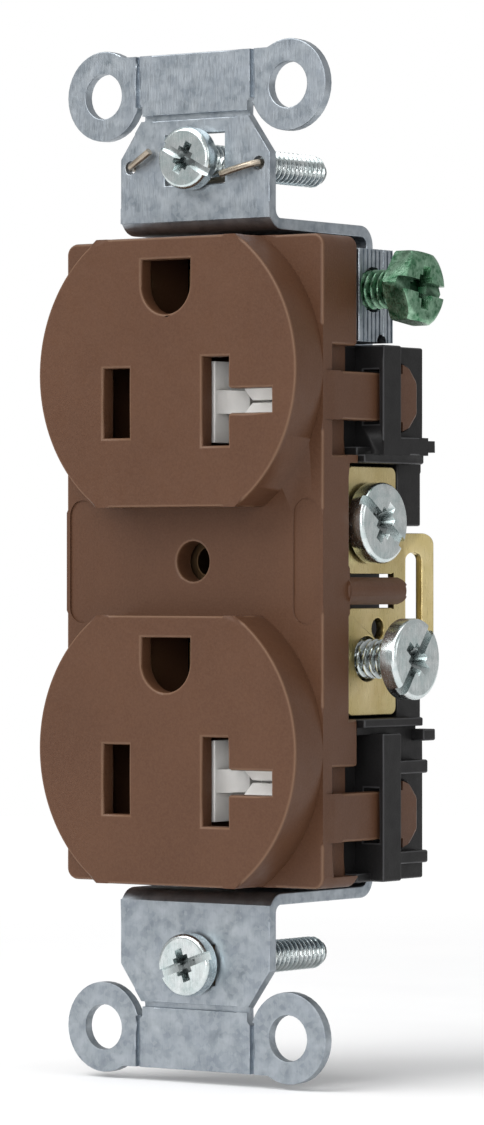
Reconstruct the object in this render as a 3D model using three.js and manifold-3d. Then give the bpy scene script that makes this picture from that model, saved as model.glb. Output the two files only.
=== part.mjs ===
// Duplex wall outlet, 20 A pattern: a front housing snapped onto a rear base, wrapped by a steel strap.
// Millimetres. +X is right seen from the front, +Y runs into the wall, +Z is up.
// The origin is the device's centre, in the plane of the backs of the strap's mounting ears.

import * as THREE from 'three';
import { mergeVertices } from 'three/addons/utils/BufferGeometryUtils.js';
import Module from 'manifold-3d';

const wasm = await Module();
wasm.setup();

// ---------------------------------------------------------------- driving dimensions

const fitGap = 0.3; // clearance between two pieces that seat on each other
const lap = 0.4; // how far joined shapes run into each other before they are united

const strap = {
  gauge: 1.2, // sheet thickness
  width: 19.2,
  bendRadius: 0.9, // inside of every bend
  topClearance: 0.7, // housing end to the strap's inner face
  screwReach: 8.27, // housing end to a mounting screw: 83.34 between the two screws
  endRise: 11.03, // mounting screw centre to the strap's straight end edge
  neckRise: 4.35, // mounting screw centre to the break-off score
  neckHalfWidth: 6.75,
  shoulderRise: 0.35, // mounting screw centre to where the tab starts to narrow
  notchTipRise: 6.1,
  notchTipHalfWidth: 7.15,
  earSpacing: 23.74, // plaster ear centres, left to right
  earRise: 7.1, // mounting screw centre to ear centre
  earRadius: 4.72,
  earHoleRadius: 2.37,
  scoreWidth: 0.55,
  scoreDepth: 0.5,
  upperSlot: { halfWidth: 3.85, halfHeight: 2.62 },
  lowerSlot: { halfWidth: 2.6, halfHeight: 2.1 },
  beadRadius: 1.5, // stiffening bead across each rear bend
  beadOffset: 5.6,
};

const wing = {
  rise: 0.3, // lower edge of the ground terminal above the base's upper block
  height: 9.6,
  standOff: 0.4, // housing's rear to the wing's front edge
  inset: 0.1, // wing's outer face inside the housing's side
  length: 6.1, // terminal face, front to back
  screwRise: 5.4, // lower edge to the screw axis
  screwSetback: 2.6, // front edge to the screw axis
  notchRadius: 0.85,
  serration: { pitch: 0.72, width: 0.3, depth: 0.18, count: 8 },
};

const outlet = {
  pitch: 38.9, // centre of the upper face to centre of the lower face
  flatHeight: 27.8, // between the flats of a face
  rise: 4.8, // face in front of the shoulder
  faceWall: 2.0,
  bladeSpacing: 12.7,
  slotDrop: 3.1, // slot centres below the face centre
  hotSlot: { width: 3.35, height: 7.2 },
  neutralSlot: { width: 3.3, height: 9.1, barHeight: 2.5, barReach: 13.35 },
  groundHole: { halfWidth: 3.1, low: 5.97, high: 11.6 },
};

const housing = {
  width: 33.0,
  endMargin: 0.05, // body end beyond the outer flat of a face
  proud: 0.3, // shoulder in front of the strap's front face
  depth: 6.2,
  wall: 1.7,
  cornerRadius: 1.2,
  sideCutback: 1.4, // side wall shortened beside the terminals
  coverHoleRadius: 2.05,
  coverWall: 2.6,
  pad: { width: 3.3, height: 12.9, inset: 0.45, depth: 0.2 },
  reliefs: [[4.6, 8.6], [-6.6, -4.6]], // hollows behind the shoulder, low and high edges
  chamber: { hotOuter: 12, inner: 2.4, spare: 2.2, groundHalf: 5, groundRise: 4.4 },
};

const arm = {
  upperDrop: 2.5, // centre of the upper arm below the upper face centre
  lowerDrop: 6.75, // centre of the lower arm below the lower face centre
  width: 5.0,
  thickness: 1.4,
  proud: 0.4, // outer face beyond the housing's side
  ramp: 1.5,
  barbStandOff: 1.5, // rear of the latch strip to the barb
  barbWidth: 6.9,
  barbTip: 3.4,
  barbLength: 2.8,
  barbShoulder: { along: 1.6, half: 2.95 }, // where the barb's round corners begin
  pocketDepth: 1.6,
  pocketStart: 1.9,
  pocketAbove: 5.15,
  pocketBelow: 6.05,
};

const base = {
  coreInset: 5.0, // each side of the core inside the housing's side
  depth: 11.0,
  sideDepth: 12.1, // side blocks, which reach past the strap's back run on both sides of it
  webDepth: 12.7, // rear webs beside the terminal plates
  wall: 1.5,
  floor: 1.5,
  endInset: 0.3, // shorter than the housing at each end
  blockInset: 0.3, // side block's panel inside the housing's side
  stripProud: 1.3, // latch strip beyond the housing's side
  stripThickness: 0.6,
  stripStart: 2.5, // base front to the strip
  stripWidth: 3.3,
  ledgeEnd: 10.7, // base front to the rear of a ledge
  shelfProud: 0.7,
  shelfHeight: 0.9,
  slit: 0.35,
  upperBlock: { low: 10.9, high: 22.3 },
  lowerBlock: { low: -33.0, high: -17.75 },
  upperLedges: [[11.0, 12.85]],
  lowerLedges: [[-31.3, -30.0], [-22.0, -20.6]],
  nub: { height: 1.2, length: 1.4 },
  webLength: 6.1, // rear web along the terminal plates
  screwWellInner: 7.3, // centre plane to the end of a terminal screw's well
  channel: { half: 4.3, rise: 4.2 }, // way up to the lower ground contact
  cornerGap: 0.2, // beyond two fit gaps, beside the ground wing's leg
  pocketFloor: 0.9, // block's lower edge to the flex pocket
};

const terminal = {
  centre: -3.05, // middle of the pair of plates
  gap: 3.5, // between the two plates of one side
  plateHeight: 11.1,
  plateLength: 8.8,
  standOff: 1.0, // housing's cut-back side to the plate's front edge
  inset: 1.0, // plate's outer face inside the housing's side
  gauge: 1.0,
  cornerCut: 0.9,
  screwPitch: 14.0,
  screwSetback: 3.6, // plate's front edge to the screw axis
  locatingHoleRadius: 1.1,
  locatingHoleRise: 3.1,
  locatingHoleSetback: 5.5,
  flangeReach: 7.6, // how near the flange comes to the centre plane
  flangeLength: 4.8,
  fin: {
    gauge: 0.75,
    height: 12.0,
    flat: 1.3,
    lean: 27, // degrees outward
    length: 3.7,
    slotWidth: 1.7,
    slotHeight: 8.0,
    slotStart: 0.35,
    cornerRadius: 1.2,
  },
  flangeSetback: 1.4,
  post: { width: 2.8, proud: 0.5, depth: 3.6, radius: 0.9, barrelRadius: 1.55 },
};

const terminalScrew = {
  headRadius: 4.2,
  headHeight: 2.0,
  shankRadius: 2.05,
  length: 7.9,
  slotWidth: 1.1,
  slotDepth: 1.0,
};
const groundScrew = {
  acrossFlats: 7.2,
  headHeight: 2.7,
  shankRadius: 2.05,
  length: 7.9,
  slotWidth: 1.1,
  slotDepth: 1.1,
};
const mountingScrew = {
  headRadius: 3.25,
  headHeight: 1.8,
  shankRadius: 1.72,
  length: 22.2,
  slotWidth: 0.9,
  slotDepth: 0.9,
};
const backedOut = { terminal: 4.0, ground: 3.5 }; // how far a loosened screw stands off

const leaf = { gauge: 0.6, spread: 2.2, height: 8.4 };
const neutralContact = {
  front: 2.3, // face to the leaves' front edges
  finger: { halfHeight: 1.2, endX: 7.1, depth: 2.9 }, // sloping spring finger of the inner leaf
  tailX: 8.2,
  lipReach: 13.1,
  lipOpening: 1.3,
  lipGap: 0.25,
  lipFlare: 1.5,
};
const hotContact = { front: 1.8, backRise: 0.2, height: 6.8 };
const groundContact = {
  front: 3.2,
  halfSpread: 2.25,
  height: 4.4,
  centreRise: 8.85, // above the face centre
  rivetRadius: 1.2,
  rivetHead: 2.1,
};
const bushing = { outerRadius: 3.0, boreRadius: 1.5, length: 6.0 };
const washer = { half: 4.4, thickness: 0.8 };
const wire = { radius: 0.38, leftHole: [-8.3, -0.55], rightHole: [8.2, -0.75], sag: -2.25 };
const wireTips = { left: [-5.3, 1.0], right: [3.9, -1.75] };

// ---------------------------------------------------------------- derived positions

const halfWidth = housing.width / 2;
const halfHeight = (outlet.pitch + outlet.flatHeight) / 2 + housing.endMargin;
const strapFrontY = -strap.gauge;
const shoulderY = strapFrontY - housing.proud;
const faceY = shoulderY - outlet.rise;
const housingRearY = shoulderY + housing.depth;
const baseFrontY = housingRearY + fitGap;
const baseBackY = baseFrontY + base.depth;
const strapBackY = baseBackY + fitGap;
const screwZ = halfHeight + strap.screwReach;
const runZ = halfHeight + strap.topClearance;
const faceCentres = { upper: outlet.pitch / 2, lower: -outlet.pitch / 2 };
const armCentres = [faceCentres.upper - arm.upperDrop, faceCentres.lower - arm.lowerDrop];
const plateX = halfWidth - terminal.inset;
const plateY = housingRearY - housing.sideCutback + terminal.standOff;
const flangeY = [plateY + terminal.flangeSetback, plateY + terminal.flangeSetback + terminal.flangeLength];
const stripY = [baseFrontY + base.stripStart, baseFrontY + base.stripStart + base.stripWidth];
const barbY = stripY[1] + arm.barbStandOff;
const terminalAxisY = plateY + terminal.screwSetback;
const plateTopZ = terminal.centre + terminal.gap / 2 + terminal.plateHeight;
const plateLowZ = terminal.centre - terminal.gap / 2 - terminal.plateHeight;
const screwRowsZ = {
  upper: terminal.centre + terminal.screwPitch / 2,
  lower: terminal.centre - terminal.screwPitch / 2,
};
const shankClearRadius = terminalScrew.shankRadius + fitGap;
const wingFrontY = housingRearY + wing.standOff;
const bushingStartY = shoulderY + housing.coverWall + fitGap;
const bushingY = [bushingStartY, bushingStartY + bushing.length];
const wingLowZ = base.upperBlock.high + wing.rise;
const groundAxis = { y: wingFrontY + wing.screwSetback, z: wingLowZ + wing.screwRise };
const wingInnerX = strap.width / 2;
const wingX = halfWidth - wing.inset;
const coreHalf = halfWidth - base.coreInset;
const groundHeadRadius = groundScrew.acrossFlats / 2 / Math.cos(Math.PI / 6);

// ---------------------------------------------------------------- shape helpers

/** Turns a closed geometry into a solid that can be joined and cut. */
function solid(geometry) {
  geometry.deleteAttribute('normal');
  geometry.deleteAttribute('uv');
  const merged = mergeVertices(geometry, 1e-4);
  const vertProperties = new Float32Array(merged.attributes.position.array);
  const triVerts = new Uint32Array(merged.index.array);
  return new wasm.Manifold(new wasm.Mesh({ numProp: 3, vertProperties, triVerts }));
}

/** Joins a list of solids. */
function join(parts) {
  return parts.reduce((whole, part) => whole.add(part));
}

/** Cuts each of a list of solids from the first. */
function cut(whole, tools) {
  return tools.reduce((left, tool) => left.subtract(tool), whole);
}

/** A box between two corners, given as a pair of limits on each axis, in either order. */
function box(x, y, z) {
  const size = [x, y, z].map((pair) => Math.abs(pair[1] - pair[0]));
  const centre = [x, y, z].map((pair) => (pair[0] + pair[1]) / 2);
  return solid(new THREE.BoxGeometry(...size).translate(...centre));
}

/** A limit pair centred on a value. */
function around(centre, half) {
  return [centre - half, centre + half];
}

/** A closed outline from a list of points. */
function outline(points) {
  return new THREE.Shape(points.map(([u, v]) => new THREE.Vector2(u, v)));
}

/** A rectangle with rounded corners. */
function roundedRectangle(u, v, radius) {
  const shape = new THREE.Shape();
  const [left, right] = u;
  const [low, high] = v;
  shape.moveTo(left + radius, low);
  shape.lineTo(right - radius, low);
  shape.absarc(right - radius, low + radius, radius, -Math.PI / 2, 0);
  shape.lineTo(right, high - radius);
  shape.absarc(right - radius, high - radius, radius, 0, Math.PI / 2);
  shape.lineTo(left + radius, high);
  shape.absarc(left + radius, high - radius, radius, Math.PI / 2, Math.PI);
  shape.lineTo(left, low + radius);
  shape.absarc(left + radius, low + radius, radius, Math.PI, 1.5 * Math.PI);
  return shape;
}

const cornerSteps = 5; // facets on a small round corner
const faceSteps = 26; // facets on each round side of a face

function extruded(shape, depth, curveSegments = cornerSteps) {
  return new THREE.ExtrudeGeometry(shape, { depth, bevelEnabled: false, curveSegments });
}

/** An (X, Z) outline with its thickness along Y. */
function alongY(shape, y, curveSegments) {
  const [near, far] = [Math.min(...y), Math.max(...y)];
  return solid(extruded(shape, far - near, curveSegments).rotateX(Math.PI / 2).translate(0, far, 0));
}

/** A (Y, Z) outline with its thickness along X. */
function alongX(shape, x) {
  const [near, far] = [Math.min(...x), Math.max(...x)];
  const axes = new THREE.Matrix4().makeBasis(
    new THREE.Vector3(0, 1, 0),
    new THREE.Vector3(0, 0, 1),
    new THREE.Vector3(1, 0, 0),
  );
  return solid(extruded(shape, far - near).applyMatrix4(axes).translate(near, 0, 0));
}

/** An (X, Y) outline with its thickness along Z. */
function alongZ(shape, z) {
  const [near, far] = [Math.min(...z), Math.max(...z)];
  return solid(extruded(shape, far - near).translate(0, 0, near));
}

/** A round bar along Y. */
function rodY(x, z, y, radius, sides = 24) {
  const [near, far] = [Math.min(...y), Math.max(...y)];
  const geometry = new THREE.CylinderGeometry(radius, radius, far - near, sides);
  return solid(geometry.translate(x, (near + far) / 2, z));
}

/** A round bar along X. */
function rodX(y, z, x, radius, sides = 24) {
  const [near, far] = [Math.min(...x), Math.max(...x)];
  const geometry = new THREE.CylinderGeometry(radius, radius, far - near, sides);
  return solid(geometry.rotateZ(Math.PI / 2).translate((near + far) / 2, y, z));
}

/** A pair of limits on the given side of the centre plane. */
function onSide(side, inner, outer) {
  return [side * inner, side * outer];
}

/** Runs a maker on the right (+1) and the left (-1). */
function bothSides(maker) {
  return [1, -1].flatMap((side) => maker(side));
}

// ---------------------------------------------------------------- front housing

function faceOutline(centreZ, radius, halfFlat) {
  const reach = Math.asin(halfFlat / radius);
  const shape = new THREE.Shape();
  shape.absarc(0, centreZ, radius, -reach, reach);
  shape.absarc(0, centreZ, radius, Math.PI - reach, Math.PI + reach);
  return shape;
}

function groundHoleOutline(centreZ) {
  const { halfWidth: half, low, high } = outlet.groundHole;
  const shape = new THREE.Shape();
  shape.moveTo(half, centreZ + high);
  shape.lineTo(-half, centreZ + high);
  shape.absarc(0, centreZ + low + half, half, Math.PI, 2 * Math.PI);
  return shape;
}

/** The three openings of one face, right through the face wall. */
function pinOpenings(centreZ) {
  const depth = [faceY - lap, faceY + outlet.faceWall + lap];
  const slotZ = centreZ - outlet.slotDrop;
  const hotX = -outlet.bladeSpacing / 2;
  const { hotSlot, neutralSlot } = outlet;
  return [
    box(around(hotX, hotSlot.width / 2), depth, around(slotZ, hotSlot.height / 2)),
    box(around(-hotX, neutralSlot.width / 2), depth, around(slotZ, neutralSlot.height / 2)),
    box([-hotX, neutralSlot.barReach], depth, around(slotZ, neutralSlot.barHeight / 2)),
    alongY(groundHoleOutline(centreZ), depth, 14),
  ];
}

/** The chambers behind one face that hold its contacts, open at the housing's rear. */
function contactChambers(centreZ) {
  const depth = [faceY + outlet.faceWall, housingRearY + lap];
  const slotZ = centreZ - outlet.slotDrop;
  const innerShape = faceOutline(centreZ, halfWidth - housing.wall, outlet.flatHeight / 2 - housing.wall);
  const inner = alongY(innerShape, depth);
  const { chamber } = housing;
  const chamberHalf = leaf.height / 2 + chamber.spare;
  const top = centreZ + outlet.flatHeight / 2;
  return [
    box([-chamber.hotOuter, -chamber.inner], depth, around(slotZ, chamberHalf)).intersect(inner),
    box([chamber.inner, halfWidth], depth, around(slotZ, chamberHalf)).intersect(inner),
    box(around(0, chamber.groundHalf), depth, [centreZ + chamber.groundRise, top]).intersect(inner),
  ];
}

/** Outline of a latch arm seen from the side: a strap with an arrow-shaped barb. */
function armOutline(centreZ, grow) {
  const half = arm.width / 2 + grow;
  const shoulder = arm.barbShoulder;
  const start = shoulderY + lap;
  return outline([
    [start, centreZ - half],
    [barbY - grow, centreZ - half],
    [barbY - grow, centreZ - arm.barbWidth / 2 - grow],
    [barbY + grow, centreZ - arm.barbWidth / 2 - grow],
    [barbY + shoulder.along + grow, centreZ - shoulder.half - grow],
    [barbY + arm.barbLength + grow, centreZ - arm.barbTip / 2 - grow],
    [barbY + arm.barbLength + grow, centreZ + arm.barbTip / 2 + grow],
    [barbY + shoulder.along + grow, centreZ + shoulder.half + grow],
    [barbY + grow, centreZ + arm.barbWidth / 2 + grow],
    [barbY - grow, centreZ + arm.barbWidth / 2 + grow],
    [barbY - grow, centreZ + half],
    [start, centreZ + half],
  ]);
}

function latchArm(centreZ, side) {
  const outer = halfWidth + arm.proud;
  const inner = outer - arm.thickness;
  const end = barbY + arm.barbLength;
  const profile = outline([
    [side * (inner - lap), shoulderY + lap],
    [side * (halfWidth - 0.01), shoulderY + lap],
    [side * outer, shoulderY + arm.ramp],
    [side * outer, end],
    [side * inner, end],
    [side * inner, shoulderY + arm.pocketStart + lap],
    [side * (inner - lap), shoulderY + arm.pocketStart + lap],
  ]);
  const bar = alongZ(profile, around(centreZ, arm.barbWidth / 2));
  return bar.intersect(alongX(armOutline(centreZ, 0), onSide(side, inner - 1, outer + 1)));
}

/** The recess in the housing's side wall that lets a latch arm flex. */
function armPocket(centreZ, side) {
  return box(
    onSide(side, halfWidth - arm.pocketDepth, halfWidth + lap),
    [shoulderY + arm.pocketStart, housingRearY + lap],
    [centreZ - arm.pocketBelow, centreZ + arm.pocketAbove],
  );
}

/** The insulating post that parts the two terminal plates of one side: a cap over a shorter rib. */
function terminalPost(side) {
  const { post, centre } = terminal;
  const startY = housingRearY - housing.sideCutback - lap;
  const outer = halfWidth + post.proud;
  const ribEndY = plateY + terminal.plateLength - lap - fitGap;
  const z = around(centre, post.width / 2);
  const capShape = roundedRectangle([startY, plateY + terminal.plateLength], z, post.radius);
  const barrelX = side * (outer - post.barrelRadius);
  const barrel = rodY(barrelX, centre, [startY, plateY + terminal.plateLength], post.barrelRadius, 36);
  const cap = alongX(capShape, onSide(side, plateX + fitGap, outer)).intersect(barrel);
  const rib = box(onSide(side, outer - post.depth, outer - 2 * lap), [startY + post.radius, ribEndY], z);
  return cap.add(rib);
}

function terminalCutback(side) {
  return box(
    onSide(side, plateX - terminal.gauge - fitGap, halfWidth + lap),
    [housingRearY - housing.sideCutback, housingRearY + lap],
    [plateLowZ - fitGap, plateTopZ + fitGap],
  );
}

function ratingPad(side) {
  const { pad } = housing;
  const outer = halfWidth - pad.inset;
  const shape = roundedRectangle([outer - pad.width, outer], around(0, pad.height / 2), pad.width / 2 - 0.01);
  const recess = alongY(shape, [shoulderY - lap, shoulderY + pad.depth]);
  return side > 0 ? recess : alongY(
    roundedRectangle([-outer, -outer + pad.width], around(0, pad.height / 2), pad.width / 2 - 0.01),
    [shoulderY - lap, shoulderY + pad.depth],
  );
}

function frontHousing() {
  const bodyShape = roundedRectangle(around(0, halfWidth), around(0, halfHeight), housing.cornerRadius);
  const centres = Object.values(faceCentres);
  const body = alongY(bodyShape, [shoulderY, housingRearY]);
  const faces = centres.map((z) => {
    return alongY(faceOutline(z, halfWidth, outlet.flatHeight / 2), [faceY, shoulderY + lap], faceSteps);
  });
  const reliefDepth = [shoulderY + housing.wall, housingRearY + lap];
  const reliefs = housing.reliefs.map((z) => box(around(0, coreHalf - base.wall), reliefDepth, z));
  const cuts = [
    ...centres.flatMap((z) => [...pinOpenings(z), ...contactChambers(z)]),
    ...bothSides((side) => armCentres.map((z) => armPocket(z, side))),
    ...bothSides((side) => [terminalCutback(side), ratingPad(side)]),
    ...reliefs,
    rodY(0, 0, [shoulderY - lap, housingRearY + lap], housing.coverHoleRadius),
    rodY(0, 0, [shoulderY + housing.coverWall, housingRearY + lap], bushing.outerRadius + fitGap),
  ];
  const additions = [
    ...bothSides((side) => armCentres.map((z) => latchArm(z, side))),
    ...bothSides((side) => [terminalPost(side)]),
  ];
  return join([cut(join([body, ...faces]), cuts), ...additions]);
}

// ---------------------------------------------------------------- rear base

/** One latch station: a side block with a bridge over the arm, ledges and a recess for the barb. */
function latchStation(side, block, ledges, centreZ) {
  const core = coreHalf - lap;
  const panel = halfWidth - base.blockInset;
  const strip = halfWidth + base.stripProud;
  const rear = baseFrontY + base.sideDepth;
  const armInner = halfWidth + arm.proud - arm.thickness - fitGap;
  const armChannel = alongX(armOutline(centreZ, fitGap), onSide(side, armInner, strip - base.stripThickness));
  const whole = join([
    box(onSide(side, core, panel), [baseFrontY, rear], [block.low, block.high]),
    box(onSide(side, panel - lap, strip), stripY, [block.low, block.high]),
    ...ledges.map((z) => box(onSide(side, panel - lap, strip), [stripY[0], baseFrontY + base.ledgeEnd], z)),
  ]);
  const pocket = box(
    onSide(side, armInner - 1, strip + lap),
    [baseFrontY - lap, stripY[0]],
    [block.low + base.pocketFloor, block.high + lap],
  );
  return cut(whole, [armChannel, pocket]);
}

/** The shelf and rear web that frame one end of a side's terminal plates. */
function terminalFrame(side, edgeZ, direction) {
  const core = coreHalf - lap;
  const outer = halfWidth + base.shelfProud;
  const shelfZ = edgeZ + direction * fitGap;
  const webOuter = halfWidth - terminal.inset;
  const webStart = plateY + terminal.plateLength + fitGap;
  const rearY = baseFrontY + base.ledgeEnd;
  const webEnd = baseFrontY + base.webDepth;
  const shelf = box(
    onSide(side, core, outer),
    [baseFrontY, rearY],
    [shelfZ, shelfZ + direction * base.shelfHeight],
  );
  const web = box(
    onSide(side, core, webOuter),
    [webStart, webEnd],
    [shelfZ + direction * base.shelfHeight, edgeZ - direction * base.webLength],
  );
  const link = box(
    onSide(side, core, outer - 1),
    [baseFrontY, rearY],
    [shelfZ + direction * lap, shelfZ + direction * (base.shelfHeight + base.slit + lap)],
  );
  const nubZ = shelfZ + direction * (base.shelfHeight + base.slit);
  const nubOuter = halfWidth + base.stripProud;
  const nub = box(
    onSide(side, halfWidth - base.blockInset - lap, nubOuter),
    [rearY - 2 * lap, rearY + base.nub.length],
    [nubZ, nubZ + direction * base.nub.height],
  );
  return [shelf, web, link, nub];
}

function rearBase() {
  const endZ = halfHeight - base.endInset;
  const inner = coreHalf - base.wall;
  const floorY = baseBackY - base.floor;
  const cornerX = wingInnerX - strap.gauge - 2 * fitGap - base.cornerGap;
  const groundLow = base.upperBlock.high;
  const core = box(around(0, coreHalf), [baseFrontY, baseBackY], around(0, endZ));
  const stations = bothSides((side) => [
    latchStation(side, base.upperBlock, base.upperLedges, armCentres[0]),
    latchStation(side, base.lowerBlock, base.lowerLedges, armCentres[1]),
  ]);
  const frames = bothSides((side) => [
    ...terminalFrame(side, plateTopZ, 1),
    ...terminalFrame(side, plateLowZ, -1),
  ]);
  const open = [baseFrontY - lap, floorY];
  const upperCavityLow = plateTopZ - terminal.gauge - fitGap;
  const lowerCavityHigh = plateLowZ + terminal.gauge + fitGap;
  const groundZ = Object.values(faceCentres).map((z) => z + groundContact.centreRise);
  const flangeSlotsZ = [[upperCavityLow, plateTopZ + fitGap], [plateLowZ - fitGap, lowerCavityHigh]];
  const flangeSlotY = [baseFrontY - lap, flangeY[1] + fitGap];
  const hollows = [
    box(around(0, inner), open, [upperCavityLow, groundLow - base.wall]),
    box([-inner, cornerX - base.wall], open, [groundLow - base.wall - lap, endZ - base.wall]),
    box(around(0, inner), open, [base.wall - endZ, lowerCavityHigh]),
    box(around(0, base.channel.half), open, [lowerCavityHigh - lap, groundZ[1] + base.channel.rise]),
    box([cornerX, coreHalf + lap], [baseFrontY - lap, baseBackY + lap], [groundLow, endZ + lap]),
    rodY(0, 0, [baseFrontY - lap, bushingY[1] + fitGap], bushing.outerRadius + fitGap),
    ...groundZ.map((z) => rodY(0, z, [floorY - lap, baseBackY + lap], groundContact.rivetRadius + fitGap)),
    ...bothSides((side) => Object.values(screwRowsZ).map((z) => {
      return rodX(terminalAxisY, z, onSide(side, base.screwWellInner, coreHalf + lap), shankClearRadius);
    })),
    ...bothSides((side) => flangeSlotsZ.map((z) => {
      return box(onSide(side, inner - lap, coreHalf + lap), flangeSlotY, z);
    })),
  ];
  return cut(join([core, ...stations, ...frames]), hollows);
}

// ---------------------------------------------------------------- strap

/** One end of the strap seen from the front, drawn for the top end and turned over for the bottom. */
function strapEndOutline(flip) {
  const half = strap.width / 2;
  const ear = { x: strap.earSpacing / 2, z: screwZ + strap.earRise };
  const endZ = screwZ + strap.endRise;
  const right = [
    [half, runZ + strap.gauge],
    [half, screwZ + strap.shoulderRise],
    [strap.neckHalfWidth, screwZ + strap.neckRise],
    [strap.neckHalfWidth, screwZ + strap.notchTipRise - 0.45],
    [strap.notchTipHalfWidth, screwZ + strap.notchTipRise],
    [strap.notchTipHalfWidth + 0.45, screwZ + strap.notchTipRise - 0.25],
    [ear.x - 0.5 * strap.earRadius, ear.z - 0.86 * strap.earRadius],
    [ear.x, ear.z],
    [ear.x - 0.55 * strap.earRadius, endZ],
  ];
  const left = right.map(([x, z]) => [-x, z]).reverse();
  return outline([...right, ...left].map(([x, z]) => [x, flip * z]));
}

/** The bent run, seen from the side: back from one tab, along the base, and forward to the other. */
function strapRunOutline() {
  const outer = strap.bendRadius + strap.gauge;
  const inner = strap.bendRadius;
  const front = strapFrontY;
  const back = strapBackY + strap.gauge;
  const top = runZ + strap.gauge;
  const shape = new THREE.Shape();
  shape.moveTo(0, top + outer);
  shape.lineTo(front, top + outer);
  shape.lineTo(front, runZ + outer);
  shape.absarc(front + outer, runZ + outer, outer, Math.PI, 1.5 * Math.PI);
  shape.lineTo(strapBackY - inner, runZ);
  shape.absarc(strapBackY - inner, runZ - inner, inner, Math.PI / 2, 0, true);
  shape.lineTo(strapBackY, inner - runZ);
  shape.absarc(strapBackY - inner, inner - runZ, inner, 0, -Math.PI / 2, true);
  shape.lineTo(front + outer, -runZ);
  shape.absarc(front + outer, -runZ - outer, outer, Math.PI / 2, Math.PI);
  shape.lineTo(front, -top - outer);
  shape.lineTo(0, -top - outer);
  shape.absarc(inner, -top - inner, inner, Math.PI, Math.PI / 2, true);
  shape.lineTo(back - outer, -top);
  shape.absarc(back - outer, outer - top, outer, -Math.PI / 2, 0);
  shape.lineTo(back, top - outer);
  shape.absarc(back - outer, top - outer, outer, 0, Math.PI / 2);
  shape.lineTo(inner, top);
  shape.absarc(inner, top + inner, inner, 1.5 * Math.PI, Math.PI, true);
  return shape;
}

/** The ground terminal: a wing folded forward, outward and forward again from the strap's back run. */
function groundWing() {
  const gauge = strap.gauge;
  const z = [wingLowZ, wingLowZ + wing.height];
  const endY = wingFrontY + wing.length;
  const face = box([wingX - gauge, wingX], [wingFrontY, endY], z);
  const jog = box([wingInnerX - gauge, wingX], [endY - gauge, endY], z);
  const leg = box([wingInnerX - gauge, wingInnerX], [endY - gauge, strapBackY + gauge / 2], z);
  const { serration } = wing;
  const grooves = Array.from({ length: serration.count }, (_, i) => {
    const y = wingFrontY + serration.pitch * (i + 0.9);
    return box([wingX - serration.depth, wingX + lap], [y, y + serration.width], [z[0] - lap, z[1] + lap]);
  });
  const through = [wingX - gauge - lap, wingX + lap];
  const hole = rodX(groundAxis.y, groundAxis.z, through, groundScrew.shankRadius + fitGap);
  const notch = rodX(endY - gauge - wing.notchRadius, wingLowZ, through, wing.notchRadius, 16);
  return cut(join([face, jog, leg]), [...grooves, hole, notch]);
}

function mountingStrap() {
  const run = alongX(strapRunOutline(), around(0, strap.width / 2));
  const ends = [1, -1].map((flip) => alongY(strapEndOutline(flip), [strapFrontY, 0]));
  const earX = strap.earSpacing / 2;
  const earZ = screwZ + strap.earRise;
  const atEars = (y, radius, sides) => bothSides((side) => {
    return [earZ, -earZ].map((z) => rodY(side * earX, z, y, radius, sides));
  });
  const ears = atEars([strapFrontY, 0], strap.earRadius, 40);
  const through = [strapFrontY - lap, lap];
  const score = [strapFrontY - lap, strapFrontY + strap.scoreDepth];
  const earHoles = atEars(through, strap.earHoleRadius, 28);
  const sideScores = bothSides((side) => [1, -1].map((flip) => {
    const x = side * (strap.notchTipHalfWidth + 0.2);
    const z = [flip * (screwZ + strap.notchTipRise - lap), flip * (screwZ + strap.endRise + lap)];
    return box(around(x, strap.scoreWidth / 2), score, z);
  }));
  const neckScores = [1, -1].map((flip) => {
    const z = flip * (screwZ + strap.neckRise + 0.1);
    return box(around(0, strap.neckHalfWidth + lap), score, around(z, strap.scoreWidth / 2));
  });
  const { upperSlot, lowerSlot } = strap;
  const slots = [
    box(around(0, upperSlot.halfWidth), through, around(screwZ, upperSlot.halfHeight)),
    box(around(0, lowerSlot.halfWidth), through, around(-screwZ, lowerSlot.halfHeight)),
  ];
  const wireHoles = [wire.leftHole, wire.rightHole].map(([x, rise]) => {
    return rodY(x, screwZ + rise, through, wire.radius + fitGap, 12);
  });
  const backRun = [strapBackY - lap, strapBackY + strap.gauge + lap];
  const rivetHoles = Object.values(faceCentres).map((z) => {
    return rodY(0, z + groundContact.centreRise, backRun, groundContact.rivetRadius + fitGap, 16);
  });
  const beads = bothSides((side) => [1, -1].map((flip) => {
    const ball = new THREE.SphereGeometry(strap.beadRadius, 12, 8).scale(1, 1.9, 1);
    const centreY = strapBackY + strap.gauge - 2.6;
    return solid(ball.translate(side * strap.beadOffset, centreY, flip * (runZ + strap.gauge - 1.05)));
  }));
  const trim = box(around(0, strap.width), [shoulderY, strapBackY], around(0, runZ));
  const beadTops = beads.map((bead) => cut(bead, [trim]));
  const cuts = [...earHoles, ...sideScores, ...neckScores, ...slots, ...wireHoles, ...rivetHoles];
  return join([cut(join([run, ...ends, ...ears, ...beadTops]), cuts), groundWing()]);
}

// ---------------------------------------------------------------- terminals and contacts

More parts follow.
